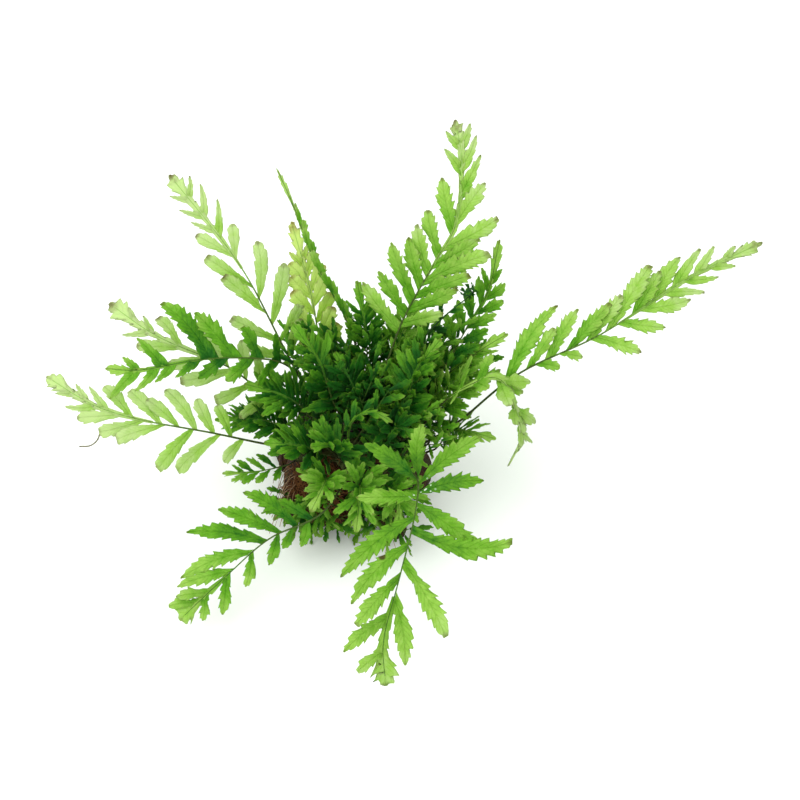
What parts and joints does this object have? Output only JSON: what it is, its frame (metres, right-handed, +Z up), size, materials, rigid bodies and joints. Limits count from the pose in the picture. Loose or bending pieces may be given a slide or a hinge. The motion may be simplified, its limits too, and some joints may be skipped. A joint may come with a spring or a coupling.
{
  "type": "bolbitis fern on driftwood",
  "caption": "Small water fern with long pinnate fronds, growing by a creeping rhizome on a short piece of driftwood that rests on a flat underside.",
  "frame": {"origin": "on the floor, in the flat worn underside of the driftwood trunk", "axes": "+X to the right of the plant along its widest reach, +Y to its back, +Z up"},
  "size_m": [0.3641, 0.2521, 0.1695],
  "materials": {
    "driftwood": "rough, wet-dark, weathered",
    "roots": "felted, matte",
    "rhizome": "scaly, matte",
    "leaf": "satin, slightly translucent"
  },
  "bodies": {
    "root": {"driftwood_trunk": "driftwood", "driftwood_front_branch": "driftwood", "driftwood_back_branch": "driftwood", "driftwood_left_branch": "driftwood", "root_mat": "roots", "rhizome": "rhizome", "back_rhizome": "rhizome", "front_rhizome": "rhizome", "frond_tall_back": "leaf", "frond_long_right": "leaf", "frond_front_fall": "leaf", "frond_left_reach": "leaf", "frond_back_left": "leaf", "frond_upper_left": "leaf", "frond_left_arch": "leaf", "frond_front_left": "leaf", "frond_thin_back": "leaf", "frond_pale_back": "leaf", "frond_young_curl": "leaf", "frond_dark_back": "leaf", "frond_right_nod": "leaf", "frond_right_short": "leaf", "frond_left_small": "leaf", "frond_left_low": "leaf", "frond_left_middle": "leaf", "frond_left_inner": "leaf", "frond_crown_left": "leaf", "frond_crown_right": "leaf", "frond_crown_back": "leaf", "frond_crown_high": "leaf", "frond_crown_deep": "leaf", "frond_centre_back": "leaf", "frond_centre_right": "leaf", "frond_right_middle": "leaf", "frond_right_low": "leaf", "frond_centre_hook": "leaf", "frond_front_inner": "leaf", "frond_front_middle": "leaf", "frond_front_right": "leaf"}
  },
  "joints": []
}
